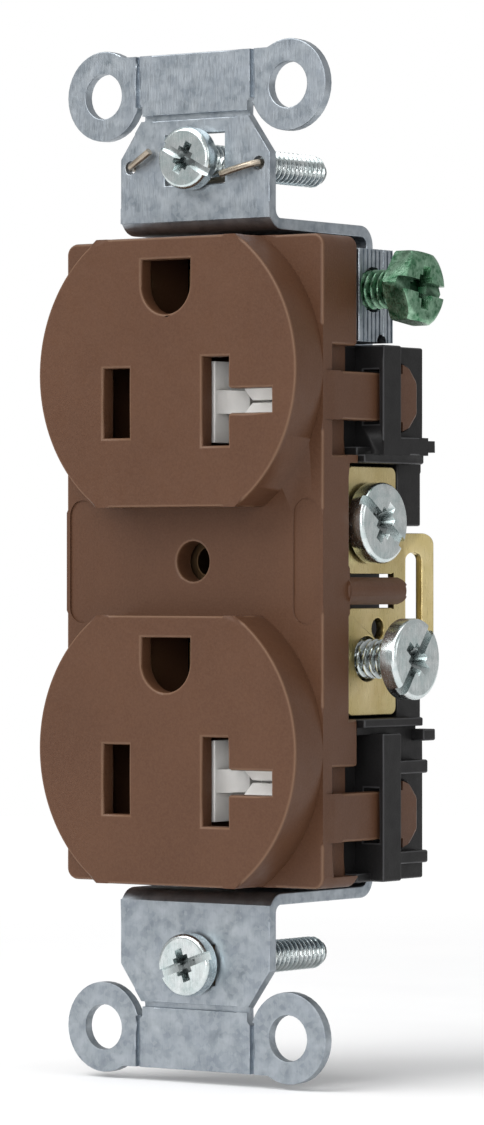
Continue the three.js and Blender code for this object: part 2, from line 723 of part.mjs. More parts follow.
/** A side's pair of terminal plates with the break-off fin that joins them. */
function terminalPlates(side) {
  const t = terminal;
  const inner = plateX - t.gauge;
  const endY = plateY + t.plateLength;
  const bands = [
    [t.centre + t.gap / 2, plateTopZ],
    [plateLowZ, t.centre - t.gap / 2],
  ];
  const plates = bands.map(([low, high]) => {
    return alongX(roundedRectangle([plateY, endY], [low, high], t.cornerCut), onSide(side, inner, plateX));
  });
  const flanges = [[plateTopZ - t.gauge, plateTopZ], [plateLowZ, plateLowZ + t.gauge]].map((z) => {
    return box(onSide(side, t.flangeReach, plateX), flangeY, z);
  });
  const { fin } = t;
  const lean = THREE.MathUtils.degToRad(fin.lean);
  const bendY = endY + fin.flat;
  const tip = [plateX + fin.length * Math.sin(lean), bendY + fin.length * Math.cos(lean)];
  const back = [-fin.gauge * Math.cos(lean), fin.gauge * Math.sin(lean)];
  const profile = outline([
    [side * plateX, endY - lap],
    [side * plateX, bendY],
    [side * tip[0], tip[1]],
    [side * (tip[0] + back[0]), tip[1] + back[1]],
    [side * (plateX - fin.gauge), bendY + 0.2],
    [side * (plateX - fin.gauge), endY - lap],
  ]);
  const finZ = around(t.centre, fin.height / 2);
  const finOutline = roundedRectangle([endY - 2 * fin.cornerRadius, tip[1]], finZ, fin.cornerRadius);
  const across = onSide(side, inner - 1, plateX + fin.length);
  const finBody = alongZ(profile, finZ).intersect(alongX(finOutline, across));
  const slotY = bendY + fin.slotStart * Math.cos(lean);
  const slotZ = around(t.centre, fin.slotHeight / 2);
  const slotShape = roundedRectangle([slotY, slotY + fin.slotWidth], slotZ, fin.slotWidth / 2 - 0.01);
  const slot = alongX(slotShape, across);
  const through = onSide(side, inner - lap, plateX + lap);
  const holes = Object.values(screwRowsZ).flatMap((z) => [
    rodX(terminalAxisY, z, through, shankClearRadius),
    rodX(plateY + t.locatingHoleSetback, z + t.locatingHoleRise, through, t.locatingHoleRadius, 16),
  ]);
  return cut(join([...plates, ...flanges, finBody]), [slot, ...holes]);
}

/** A two-leaf contact for a T-shaped slot, with a pair of flared lips for a blade lying flat. */
function neutralContactAt(centreZ, towards) {
  const n = neutralContact;
  const slotZ = centreZ - outlet.slotDrop;
  const middleX = outlet.bladeSpacing / 2;
  const frontY = faceY + n.front;
  const backY = housingRearY - leaf.gauge;
  const z = around(slotZ, leaf.height / 2);
  const slotEdge = middleX - outlet.neutralSlot.width / 2;
  const left = [slotEdge - leaf.gauge, slotEdge];
  const right = [middleX + leaf.spread / 2, middleX + leaf.spread / 2 + leaf.gauge];
  const barGap = box(
    [right[0] - lap, right[1] + lap],
    [frontY - lap, backY - 2 * leaf.gauge],
    around(slotZ, n.lipOpening + lap / 4),
  );
  const lipX = [right[1] + fitGap, n.lipReach];
  const lips = [1, -1].map((up) => {
    const edge = up * n.lipGap / 2;
    return alongX(outline([
      [frontY, slotZ + up * n.lipOpening],
      [frontY + n.lipFlare, slotZ + edge],
      [backY + leaf.gauge / 2, slotZ + edge],
      [backY + leaf.gauge / 2, slotZ + edge + up * 0.5],
      [frontY + n.lipFlare, slotZ + edge + up * 0.5],
      [frontY, slotZ + up * (n.lipOpening + 0.5)],
    ]), lipX);
  });
  const tailEnd = towards > 0 ? plateTopZ + fitGap : plateLowZ - fitGap;
  const tailX = [n.tailX, n.tailX + leaf.gauge];
  const stem = box(tailX, [backY, flangeY[1]], [z[0], slotZ]);
  const tail = box(tailX, flangeY, [tailEnd, slotZ]);
  const { finger } = n;
  const fingerShape = outline([
    [left[0], frontY],
    [left[1], frontY],
    [finger.endX, frontY + finger.depth],
    [finger.endX - leaf.gauge, frontY + finger.depth],
  ]);
  const body = join([
    alongZ(fingerShape, around(slotZ, finger.halfHeight)),
    box(left, [frontY, backY + leaf.gauge], z),
    cut(box(right, [frontY, backY + leaf.gauge], z), [barGap]),
    box([left[0], right[1]], [backY, backY + leaf.gauge], z),
    box([right[0], n.lipReach], [backY, backY + leaf.gauge], around(slotZ, n.lipOpening + leaf.gauge)),
    ...lips,
  ]);
  return join([body, stem, tail]);
}

function hotContactAt(centreZ, towards) {
  const h = hotContact;
  const slotZ = centreZ - outlet.slotDrop;
  const middleX = -outlet.bladeSpacing / 2;
  const frontY = shoulderY + h.front;
  const backY = flangeY[1] + h.backRise;
  const z = around(slotZ, h.height / 2);
  const outer = middleX - leaf.spread / 2 - leaf.gauge;
  const tailEnd = towards > 0 ? plateTopZ + fitGap : plateLowZ - fitGap;
  return join([
    box([outer, outer + leaf.gauge], [frontY, backY], z),
    box([middleX + leaf.spread / 2, middleX + leaf.spread / 2 + leaf.gauge], [frontY, backY], z),
    box([outer, middleX + leaf.spread / 2 + leaf.gauge], [backY - leaf.gauge, backY], z),
    box([outer, outer + leaf.gauge], [flangeY[0], backY], [tailEnd, slotZ]),
  ]);
}

function groundContactAt(centreZ) {
  const g = groundContact;
  const z = around(centreZ + g.centreRise, g.height / 2);
  const frontY = shoulderY + g.front;
  const seatY = baseBackY - base.floor - fitGap;
  const outer = g.halfSpread + leaf.gauge;
  const leaves = bothSides((side) => [box(onSide(side, g.halfSpread, outer), [frontY, seatY], z)]);
  const seat = box(around(0, outer), [seatY - leaf.gauge, seatY], z);
  const hole = rodY(0, centreZ + g.centreRise, [seatY - 2, seatY + lap], g.rivetRadius + fitGap, 16);
  return cut(join([...leaves, seat]), [hole]);
}

/** The rivet that clamps a ground contact, the base's floor and the strap together. */
function groundRivetAt(centreZ) {
  const g = groundContact;
  const frontY = baseBackY - base.floor - fitGap - leaf.gauge - fitGap;
  const backY = strapBackY + strap.gauge + fitGap;
  const headRise = 0.8;
  const r = g.rivetRadius;
  const profile = [
    [0, frontY - headRise],
    [g.rivetHead * 0.75, frontY - headRise],
    [g.rivetHead * 0.9, frontY],
    [r, frontY],
    [r, backY],
    [g.rivetHead, backY],
    [g.rivetHead * 0.85, backY + headRise * 0.6],
    [g.rivetHead * 0.5, backY + headRise],
    [0, backY + headRise],
  ].map(([u, v]) => new THREE.Vector2(u, v));
  return solid(new THREE.LatheGeometry(profile, 20).translate(0, 0, centreZ + g.centreRise));
}

// ---------------------------------------------------------------- screws and small parts

/** A screw along +Y with its head's seat at y = 0, its head towards -Y and a cross-shaped driver recess. */
function crossScrew(size, headShape) {
  const recessDepth = [-size.headHeight - lap, size.slotDepth - size.headHeight];
  const shank = rodY(0, 0, [-lap, size.length], size.shankRadius, 20);
  const bars = [
    box(around(0, size.slotWidth / 2), recessDepth, around(0, size.headRadius + lap)),
    box(around(0, size.headRadius * 0.62), recessDepth, around(0, size.slotWidth / 2)),
  ];
  return cut(join([headShape, shank]), bars);
}

function roundScrew(size) {
  return crossScrew(size, rodY(0, 0, [-size.headHeight, 0], size.headRadius, 36));
}

function hexScrew(size) {
  const head = rodY(0, 0, [-size.headHeight, 0], groundHeadRadius, 6);
  return crossScrew({ ...size, headRadius: groundHeadRadius }, head);
}

/** A fibre washer that keeps the lower mounting screw with the strap. */
function retainingWasher() {
  const y = [fitGap, fitGap + washer.thickness];
  const disc = box(around(0, washer.half), y, around(-screwZ, washer.half));
  return cut(disc, [rodY(0, -screwZ, [y[0] - lap, y[1] + lap], mountingScrew.shankRadius + fitGap, 20)]);
}

/** The threaded bushing that takes the cover plate's screw. */
function coverBushing() {
  const tube = rodY(0, 0, bushingY, bushing.outerRadius, 28);
  return cut(tube, [rodY(0, 0, [bushingY[0] - lap, bushingY[1] + lap], bushing.boreRadius, 24)]);
}

/** The spring wire that bears on the upper mounting screw and grounds it. */
function groundingWire() {
  const frontY = strapFrontY - wire.radius - fitGap;
  const backY = wire.radius + fitGap;
  const [leftX, leftRise] = wire.leftHole;
  const [rightX, rightRise] = wire.rightHole;
  const points = [
    [wireTips.left[0], frontY, wireTips.left[1]],
    [leftX + 1.0, frontY, leftRise + 0.3],
    [leftX, strapFrontY, leftRise],
    [leftX, 0, leftRise],
    [leftX + 1.0, backY, leftRise - 0.3],
    [0, backY, wire.sag],
    [rightX - 1.0, backY, rightRise - 0.3],
    [rightX, 0, rightRise],
    [rightX, strapFrontY, rightRise],
    [rightX - 1.0, frontY, rightRise - 0.25],
    [wireTips.right[0], frontY, wireTips.right[1]],
  ].map(([x, y, dz]) => new THREE.Vector3(x, y, screwZ + dz));
  const section = new THREE.Shape().absarc(0, 0, wire.radius, 0, 2 * Math.PI);
  const extrudePath = new THREE.CatmullRomCurve3(points, false, 'centripetal');
  return solid(new THREE.ExtrudeGeometry(section, { steps: 36, extrudePath, curveSegments: 4 }));
}

// ---------------------------------------------------------------- assembly

const finishes = {
  brownPlastic: { color: 0x69463a, roughness: 0.5, metalness: 0 },
  blackPlastic: { color: 0x35363a, roughness: 0.55, metalness: 0 },
  galvanised: { color: 0xa3abb4, roughness: 0.42, metalness: 1 },
  brass: { color: 0xc8b06a, roughness: 0.34, metalness: 1 },
  tinned: { color: 0xc9c7c0, roughness: 0.3, metalness: 1 },
  zinc: { color: 0xcfd5da, roughness: 0.22, metalness: 1 },
  greenZinc: { color: 0x2f7a3c, roughness: 0.35, metalness: 0.7 },
  springWire: { color: 0xb59a76, roughness: 0.35, metalness: 1 },
  fibre: { color: 0x8a6f55, roughness: 0.9, metalness: 0 },
};

const device = new THREE.Group();

/** Adds a solid to the device as a named mesh, turned and placed as asked. */
function add(name, shape, finish, place = {}) {
  const { vertProperties, triVerts } = shape.getMesh();
  const geometry = new THREE.BufferGeometry();
  geometry.setAttribute('position', new THREE.BufferAttribute(new Float32Array(vertProperties), 3));
  geometry.setIndex(new THREE.BufferAttribute(new Uint32Array(triVerts), 1));
  const mesh = new THREE.Mesh(geometry, new THREE.MeshStandardMaterial(finishes[finish]));
  mesh.name = name;
  mesh.rotation.set(place.tilt ?? 0, place.roll ?? 0, place.turn ?? 0, 'ZXY');
  mesh.position.set(...(place.at ?? [0, 0, 0]));
  device.add(mesh);
}

add('front_housing', frontHousing(), 'brownPlastic');
add('rear_base', rearBase(), 'blackPlastic');
add('mounting_strap', mountingStrap(), 'galvanised');
add('neutral_terminal_plates', terminalPlates(1), 'brass');
add('hot_terminal_plates', terminalPlates(-1), 'brass');
add('cover_screw_bushing', coverBushing(), 'brass');
add('lower_screw_washer', retainingWasher(), 'fibre');
add('grounding_wire', groundingWire(), 'springWire');

for (const [row, centreZ] of Object.entries(faceCentres)) {
  const towards = row === 'upper' ? 1 : -1;
  add(`${row}_neutral_contact`, neutralContactAt(centreZ, towards), 'tinned');
  add(`${row}_hot_contact`, hotContactAt(centreZ, towards), 'tinned');
  add(`${row}_ground_contact`, groundContactAt(centreZ), 'brass');
  add(`${row}_ground_rivet`, groundRivetAt(centreZ), 'galvanised');
}

// A screw's own +Y is the way it goes in: a quarter turn about Z points it at the centre plane.
const seatX = plateX + fitGap;
const screwTurn = { right: Math.PI / 2, left: -Math.PI / 2 };
const headAngles = { neutral: { upper: 0.6, lower: -0.9 }, hot: { upper: 0.3, lower: 1.1 }, ground: 0.12 };

for (const [row, z] of Object.entries(screwRowsZ)) {
  const standOff = row === 'lower' ? backedOut.terminal : 0;
  add(`${row}_neutral_screw`, roundScrew(terminalScrew), 'zinc', {
    at: [seatX + standOff, terminalAxisY, z],
    turn: screwTurn.right,
    roll: headAngles.neutral[row],
  });
  add(`${row}_hot_screw`, roundScrew(terminalScrew), 'brass', {
    at: [-seatX, terminalAxisY, z],
    turn: screwTurn.left,
    roll: headAngles.hot[row],
  });
}

add('ground_screw', hexScrew(groundScrew), 'greenZinc', {
  at: [wingX + fitGap + backedOut.ground, groundAxis.y, groundAxis.z],
  turn: screwTurn.right,
  roll: headAngles.ground,
});

for (const [row, z] of Object.entries({ upper: screwZ, lower: -screwZ })) {
  add(`${row}_mounting_screw`, roundScrew(mountingScrew), 'zinc', {
    at: [0, strapFrontY - fitGap, z],
    roll: row === 'upper' ? 0.5 : -0.35,
  });
}

export default device;
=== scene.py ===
"""Looks of a duplex wall outlet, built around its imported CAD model.

Metres, in the model's own frame: +X right seen from the front, +Y into the wall, +Z up.
"""

import logging
import math
from dataclasses import dataclass
from enum import Enum

import bmesh
import bpy
from mathutils import Matrix, Vector
from mathutils.bvhtree import BVHTree


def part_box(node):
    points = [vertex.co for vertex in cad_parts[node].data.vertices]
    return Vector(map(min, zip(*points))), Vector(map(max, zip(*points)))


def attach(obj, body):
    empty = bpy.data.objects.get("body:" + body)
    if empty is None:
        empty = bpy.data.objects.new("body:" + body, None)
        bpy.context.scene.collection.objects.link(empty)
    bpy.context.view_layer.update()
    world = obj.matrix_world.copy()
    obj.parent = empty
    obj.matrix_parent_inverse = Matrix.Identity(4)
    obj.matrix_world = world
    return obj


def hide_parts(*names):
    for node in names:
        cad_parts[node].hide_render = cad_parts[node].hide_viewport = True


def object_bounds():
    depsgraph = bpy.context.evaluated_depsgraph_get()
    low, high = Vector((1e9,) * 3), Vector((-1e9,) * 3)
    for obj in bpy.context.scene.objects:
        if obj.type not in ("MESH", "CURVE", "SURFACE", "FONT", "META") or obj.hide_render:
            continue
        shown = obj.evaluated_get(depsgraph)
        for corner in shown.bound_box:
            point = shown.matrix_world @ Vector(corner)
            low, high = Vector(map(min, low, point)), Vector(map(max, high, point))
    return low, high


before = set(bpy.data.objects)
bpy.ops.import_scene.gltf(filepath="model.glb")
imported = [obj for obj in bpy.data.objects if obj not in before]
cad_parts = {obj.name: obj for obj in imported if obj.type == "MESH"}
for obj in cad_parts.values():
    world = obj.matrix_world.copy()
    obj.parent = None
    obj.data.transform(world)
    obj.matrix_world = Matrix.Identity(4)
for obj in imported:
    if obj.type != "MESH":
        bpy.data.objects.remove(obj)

MM = 0.001
SLIVER = 0.03 * MM  # CAD corners closer than this are one corner
CORNER_ROOM = 4.0  # an edge this many roundings long can be rounded at both ends
EDGE_STEP = 1.5 * MM  # long edges are looked at in steps of about this
FLAT_ROOM = 1.8  # a face this many roundings wide can be rounded into
RIM_TURN = 35.0  # degrees that a rim may turn at one corner and still run on
DEVICE = "device"
DEPTH = "depth"  # how deep in a groove each corner of a mesh is, which metal finishes darken as painted shade
RIM_HIGHLIGHT = "rim_highlight"  # how far out on a rounded edge each corner of a mesh is, for a painted highlight along the edge
GROOVE_SHADE = 0.35  # painted shade: tone of the bottom of a groove against the metal's darker tone
Colour = tuple[float, float, float]
log = logging.getLogger("outlet")
cad_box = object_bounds()


# ---------------------------------------------------------------- finishes


class Recipe:
    """One material's nodes, added a step at a time to its shader."""

    def __init__(self, name: str) -> None:
        """Starts a material with a shader and the piece's own coordinates.

        Args:
            name: the material's name.
        """
        self.material = bpy.data.materials.new(name)
        self.material.use_nodes = True
        self.tree = self.material.node_tree
        self.shader = self.tree.nodes["Principled BSDF"]
        self.place = self.tree.nodes.new("ShaderNodeTexCoord").outputs["Object"]

    def stretched(self, stretch: Colour) -> bpy.types.NodeSocket:
        """The piece's coordinates, scaled along each axis.

        Args:
            stretch: the factor for each axis.

        Returns:
            The scaled coordinates.
        """
        mapping = self.tree.nodes.new("ShaderNodeMapping")
        mapping.inputs["Scale"].default_value = stretch
        self.tree.links.new(self.place, mapping.inputs["Vector"])
        return mapping.outputs["Vector"]

    def noise(self, size: float, detail: float = 4.0, stretch: Colour = (1, 1, 1)) -> bpy.types.NodeSocket:
        """A soft random value over the piece.

        Args:
            size: about how large one patch is, in metres.
            detail: how many finer layers it has.
            stretch: the factor for each axis.

        Returns:
            The value, around one half.
        """
        node = self.tree.nodes.new("ShaderNodeTexNoise")
        node.inputs["Scale"].default_value = 1.0 / size
        node.inputs["Detail"].default_value = detail
        self.tree.links.new(self.stretched(stretch), node.inputs["Vector"])
        return node.outputs["Fac"]

    def stored(self, name: str) -> bpy.types.NodeSocket:
        """A value from 0 to 1 that the mesh stores at its corners.

        Args:
            name: DEPTH or RIM_HIGHLIGHT.

        Returns:
            The value, 0 where the mesh has none.
        """
        node = self.tree.nodes.new("ShaderNodeAttribute")
        node.attribute_name = name
        return node.outputs["Fac"]

    def distance(self, near: float, far: float) -> bpy.types.NodeSocket:
        """How far a point is from the middle of the piece.

        Args:
            near: the distance that gives 0, in metres.
            far: the distance that gives 1, in metres.

        Returns:
            The value, from 0 to 1.
        """
        length = self.tree.nodes.new("ShaderNodeVectorMath")
        length.operation = "LENGTH"
        self.tree.links.new(self.place, length.inputs[0])
        node = self.tree.nodes.new("ShaderNodeMapRange")
        node.interpolation_type = "SMOOTHSTEP"
        node.inputs["From Min"].default_value = near
        node.inputs["From Max"].default_value = far
        self.tree.links.new(length.outputs["Value"], node.inputs["Value"])
        return node.outputs["Result"]

    def crystals(self, size: float) -> bpy.types.NodeSocket:
        """A flat random value for each crystal of a metal coating.

        Args:
            size: about how large one crystal is, in metres.

        Returns:
            The value, from 0 to 1.
        """
        node = self.tree.nodes.new("ShaderNodeTexVoronoi")
        node.inputs["Scale"].default_value = 1.0 / size
        self.tree.links.new(self.place, node.inputs["Vector"])
        split = self.tree.nodes.new("ShaderNodeSeparateColor")
        self.tree.links.new(node.outputs["Color"], split.inputs["Color"])
        return split.outputs["Red"]

    def spread(self, value: bpy.types.NodeSocket, low: float, high: float) -> bpy.types.NodeSocket:
        """A random value around one half, spread between two limits.

        Args:
            value: the random value.
            low: what its lower part becomes.
            high: what its upper part becomes.

        Returns:
            The spread value.
        """
        node = self.tree.nodes.new("ShaderNodeMapRange")
        node.inputs["From Min"].default_value = 0.3
        node.inputs["From Max"].default_value = 0.7
        node.inputs["To Min"].default_value = low
        node.inputs["To Max"].default_value = high
        self.tree.links.new(value, node.inputs["Value"])
        return node.outputs["Result"]

    def blend(self, value: bpy.types.NodeSocket, first: object, second: object) -> bpy.types.NodeSocket:
        """Goes between two colours by a value.

        Args:
            value: 0 for the first colour, 1 for the second.
            first: a colour, or a socket that gives one.
            second: a colour, or a socket that gives one.

        Returns:
            The colour between them.
        """
        node = self.tree.nodes.new("ShaderNodeMix")
        node.data_type = "RGBA"
        self.tree.links.new(value, node.inputs["Factor"])
        for socket, colour in zip(node.inputs[6:8], (first, second)):
            if isinstance(colour, bpy.types.NodeSocket):
                self.tree.links.new(colour, socket)
            else:
                socket.default_value = (*colour, 1.0)
        return node.outputs[2]

    def set(self, name: str, value: float) -> None:
        """Sets a value of the shader that is the same all over."""
        self.shader.inputs[name].default_value = value

    def drive(self, name: str, value: bpy.types.NodeSocket) -> None:
        """Lets a socket give one of the shader's values."""
        self.tree.links.new(value, self.shader.inputs[name])

    def relief(self, value: bpy.types.NodeSocket, height: float) -> None:
        """Raises the surface by a value.

        Args:
            value: the height map.
            height: how high its full range stands, in metres.
        """
        node = self.tree.nodes.new("ShaderNodeBump")
        node.inputs["Distance"].default_value = height
        node.inputs["Strength"].default_value = 1.0
        before = self.shader.inputs["Normal"]
        if before.is_linked:
            self.tree.links.new(before.links[0].from_socket, node.inputs["Normal"])
        self.tree.links.new(value, node.inputs["Height"])
        self.tree.links.new(node.outputs["Normal"], before)


@dataclass(frozen=True)
class MouldedPlastic:
    """A filled moulding compound: even colour, fine speckle, slightly uneven gloss, and a painted highlight on
    rounded edges.
    """

    name: str
    slot: str
    dark: Colour
    light: Colour
    speck: Colour
    highlight_colour: Colour
    gloss: tuple[float, float]
    speck_size: float = 0.22 * MM
    flow_size: float = 9.0 * MM
    speck_share: float = 0.22
    relief: float = 0.012 * MM
    specular: float = 0.5

    def material(self) -> bpy.types.Material:
        """Makes the finish.

        Returns:
            The material.
        """
        recipe = Recipe(self.name)
        flow = recipe.spread(recipe.noise(self.flow_size), 0.0, 1.0)
        specks = recipe.noise(self.speck_size, detail=2.0)
        colour = recipe.blend(flow, self.dark, self.light)
        speckle = recipe.spread(specks, 0.0, self.speck_share)
        colour = recipe.blend(speckle, colour, self.speck)
        # painted highlight: the rounded edges get a lighter tone
        recipe.drive("Base Color", recipe.blend(recipe.stored(RIM_HIGHLIGHT), colour, self.highlight_colour))
        recipe.drive("Roughness", recipe.spread(recipe.noise(1.6 * MM), *self.gloss))
        recipe.set("Specular IOR Level", self.specular)
        recipe.relief(specks, self.relief)
        return recipe.material


@dataclass(frozen=True)
class SheetMetal:
    """Rolled or coated sheet: patches of tone, crystals, fine lines along the rolling, and painted shade deep in
    grooves and recesses.
    """

    name: str
    slot: str
    dark: Colour
    light: Colour
    tint: Colour
    gloss: tuple[float, float]
    crystal_size: float = 1.4 * MM
    crystal_share: float = 0.25
    patch_size: float = 3.0 * MM
    line_size: float = 0.12 * MM
    line_stretch: Colour = (1.0, 1.0, 0.08)
    relief: float = 0.006 * MM
    metallic: float = 1.0

    def material(self) -> bpy.types.Material:
        """Makes the finish.

        Returns:
            The material.
        """
        recipe = Recipe(self.name)
        patches = recipe.spread(recipe.noise(self.patch_size, detail=6.0), 0.0, 1.0)
        tinted = recipe.spread(recipe.noise(self.patch_size * 1.7), 0.0, 0.6)
        crystals = recipe.spread(recipe.crystals(self.crystal_size), 0.0, self.crystal_share)
        lines = recipe.noise(self.line_size, detail=3.0, stretch=self.line_stretch)
        colour = recipe.blend(patches, self.dark, self.light)
        colour = recipe.blend(tinted, colour, self.tint)
        colour = recipe.blend(crystals, colour, self.light)
        # painted shade: darker towards the bottom of threads and recesses, where shade falls
        recipe.drive("Base Color", recipe.blend(recipe.stored(DEPTH), colour, tuple(c * GROOVE_SHADE for c in self.dark)))
        recipe.drive("Roughness", recipe.spread(lines, *self.gloss))
        recipe.set("Metallic", self.metallic)
        recipe.relief(lines, self.relief)
        return recipe.material


BROWN = MouldedPlastic("brown_thermoset", "brown_plastic", (0.078, 0.0325, 0.0155), (0.091, 0.0395, 0.0195),
                       (0.15, 0.078, 0.045), (0.165, 0.09, 0.052), (0.4, 0.54), specular=0.3)
BLACK = MouldedPlastic("black_nylon", "black_plastic", (0.006, 0.0058, 0.006), (0.0105, 0.01, 0.0102),
                       (0.026, 0.025, 0.026), (0.06, 0.06, 0.063), (0.4, 0.56), specular=0.24)
FIBRE = MouldedPlastic("pressed_fibre", "fibre", (0.2, 0.13, 0.08), (0.3, 0.2, 0.13),
                       (0.42, 0.3, 0.2), (0.42, 0.3, 0.2), (0.8, 0.95), relief=0.05 * MM)
STEEL = SheetMetal("galvanised_sheet", "galvanised_steel", (0.22, 0.255, 0.285), (0.48, 0.52, 0.555),
                   (0.33, 0.37, 0.42), (0.3, 0.56), crystal_size=0.5 * MM, crystal_share=0.3,
                   patch_size=1.6 * MM, relief=0.012 * MM)
BRASS = SheetMetal("rolled_brass", "brass", (0.53, 0.41, 0.18), (0.72, 0.6, 0.34),
                   (0.55, 0.47, 0.21), (0.24, 0.4), crystal_share=0.05)
# painted shade: the bushing's brass darkened to the shade deep in the cover-screw hole
SHADED_BRASS = SheetMetal("brass_darkened_as_shade", "brass", (0.1, 0.06, 0.03), (0.24, 0.15, 0.08),
                  (0.16, 0.1, 0.05), (0.35, 0.5), crystal_share=0.05)
TIN = SheetMetal("tinned_strip", "tinned_brass", (0.8, 0.79, 0.77), (0.94, 0.935, 0.92),
                 (0.88, 0.86, 0.82), (0.36, 0.52), crystal_share=0.05, metallic=0.15)
ZINC = SheetMetal("bright_zinc", "zinc_steel", (0.5, 0.55, 0.55), (0.82, 0.85, 0.85),
                  (0.54, 0.67, 0.67), (0.14, 0.3), crystal_size=0.5 * MM, patch_size=1.2 * MM)
GREEN = SheetMetal("green_dyed_zinc", "green_zinc", (0.01, 0.08, 0.028), (0.37, 0.58, 0.42),
                   (0.03, 0.18, 0.075), (0.22, 0.4), crystal_size=0.3 * MM, crystal_share=0.3,
                   patch_size=0.8 * MM)
BRONZE = SheetMetal("spring_bronze", "spring_wire", (0.27, 0.225, 0.17), (0.56, 0.5, 0.42),
                    (0.4, 0.33, 0.25), (0.25, 0.4), crystal_share=0.05)


# ---------------------------------------------------------------- making pieces


def show(mesh: bpy.types.Mesh, name: str, finish: MouldedPlastic | SheetMetal, body: str,
         *nodes: str) -> bpy.types.Object:
    """Puts a finished mesh in the scene as a piece that stands for some CAD nodes.

    Args:
        mesh: the piece's mesh, in the model's frame.
        name: the piece's name.
        finish: what it is made of.
        body: the CAD body that it moves with.
        nodes: the CAD nodes that it stands for.

    Returns:
        The piece.
    """
    mesh.materials.clear()
    mesh.materials.append(bpy.data.materials.get(finish.name) or finish.material())
    piece = bpy.data.objects.new(name, mesh)
    bpy.context.scene.collection.objects.link(piece)
    even = piece.modifiers.new("even_flats", "WEIGHTED_NORMAL")
    even.keep_sharp = True
    even.weight = 100
    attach(piece, body)
    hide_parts(*nodes)
    log.info("%s: %d faces, in %s, on %s", name, len(mesh.polygons), finish.name, body)
    return piece


def shaded(mesh: bpy.types.Mesh, crease: float = 32.0) -> bpy.types.Mesh:
    """Shades a mesh smoothly up to a crease.

    Args:
        mesh: the mesh.
        crease: the angle between faces above which an edge stays sharp, in degrees.

    Returns:
        The same mesh.
    """
    mesh.shade_smooth()
    mesh.set_sharp_from_angle(angle=math.radians(crease))
    return mesh


def has_room(corner: bmesh.types.BMVert, sharp: set[bmesh.types.BMEdge], radius: float) -> bool:
    """Whether the edges at a corner can be rounded without running into each other.

    Args:
        corner: the corner.
        sharp: every edge that would be rounded.
        radius: how far the rounding reaches, in metres.

    Returns:
        True where a rim runs on nearly straight, or no edge at the corner is short.
    """
    meeting = [edge for edge in corner.link_edges if edge in sharp]
    if len(meeting) == 2:
        one, other = (edge.other_vert(corner).co - corner.co for edge in meeting)
        if math.pi - one.angle(other, 0.0) < math.radians(RIM_TURN):
            return True
    shortest = min(edge.calc_length() for edge in corner.link_edges)
    return len(meeting) <= 3 and shortest >= CORNER_ROOM * radius


def has_width(edge: bmesh.types.BMEdge, surface: BVHTree, radius: float) -> bool:
    """Whether the faces at an edge are wide enough to be rounded into.

    Args:
        edge: the edge, which has to stand proud for a rounding.
        surface: the shape's own surface.
        radius: how far the rounding reaches, in metres.

    Returns:
        True where both faces go on past the rounding.
    """
    if not edge.is_convex:
        return False
    for loop in edge.link_loops:
        direction = (loop.link_loop_next.vert.co - loop.vert.co).normalized()
        inward = loop.face.normal.cross(direction)
        for share in (0.08, 0.5, 0.92):
            point = edge.verts[0].co.lerp(edge.verts[1].co, share) + inward * FLAT_ROOM * radius
            _, normal, _, distance = surface.find_nearest(point)
            if distance > 0.02 * MM or normal.dot(loop.face.normal) < 0.9:
                return False
    return True


def softened(node: str, radius: float, crease: float = 32.0, segments: int = 2) -> bpy.types.Mesh:
    """A copy of a CAD node with its flats whole again and its edges rounded.

    Args:
        node: the CAD node.
        radius: how far the rounding reaches from each edge, in metres.
        crease: the angle between faces above which an edge is rounded, in degrees.
        segments: how many faces the rounding has.

    Returns:
        The new mesh.
    """
    shape = bmesh.new()
    shape.from_mesh(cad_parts[node].data)
    rim_highlight = shape.verts.layers.float.new(RIM_HIGHLIGHT)
    bmesh.ops.remove_doubles(shape, verts=shape.verts, dist=SLIVER)
    bmesh.ops.dissolve_limit(shape, angle_limit=math.radians(1.0), verts=shape.verts, edges=shape.edges)
    limit = math.radians(crease)
    sharp = [e for e in shape.edges if e.is_manifold and e.calc_face_angle(0.0) > limit]
    for edge in [e for e in sharp if e.calc_length() > 2 * EDGE_STEP]:
        bmesh.ops.subdivide_edges(shape, edges=[edge], cuts=int(edge.calc_length() / EDGE_STEP) - 1)
    shape.normal_update()
    surface = BVHTree.FromBMesh(shape)
    sharp = {e for e in shape.edges if e.is_manifold and e.calc_face_angle(0.0) > limit}
    sharp = {e for e in sharp if has_width(e, surface, radius)}
    open_corners = {v for v in shape.verts if has_room(v, sharp, radius)}
    edges = [e for e in sharp if open_corners.issuperset(e.verts)]
    made = bmesh.ops.bevel(shape, geom=edges, offset=radius, offset_type="OFFSET", segments=segments,
                           profile=0.5, affect="EDGES", clamp_overlap=False, loop_slide=True)
    # marks the middle of each rounding, which plastic finishes lighten as a painted highlight
    rounding = set(made["faces"])
    for corner in made["verts"]:
        corner[rim_highlight] = float(rounding.issuperset(corner.link_faces))
    mesh = bpy.data.meshes.new(node + "_shape")
    shape.to_mesh(mesh)
    shape.free()
    return shaded(mesh)


def lathed(profile: list[tuple[float, float]], sides: int) -> bpy.types.Mesh:
    """Turns a profile round the Y axis.

    Args:
        profile: (radius, y) points in metres, from one end of the axis to the other.
        sides: how many steps make the full turn.

    Returns:
        The closed mesh.
    """
    shape = bmesh.new()
    rings = []
    for radius, y in profile:
        angles = [2 * math.pi * i / sides for i in range(sides)]
        rings.append([shape.verts.new((radius * math.cos(a), y, radius * math.sin(a))) for a in angles])
    for low, high in zip(rings, rings[1:]):
        for i in range(sides):
            j = (i + 1) % sides
            shape.faces.new((low[i], low[j], high[j], high[i]))
    shape.faces.new(rings[0][::-1])
    shape.faces.new(rings[-1])
    bmesh.ops.recalc_face_normals(shape, faces=shape.faces)
    mesh = bpy.data.meshes.new("lathed")
    shape.to_mesh(mesh)
    shape.free()
    return mesh


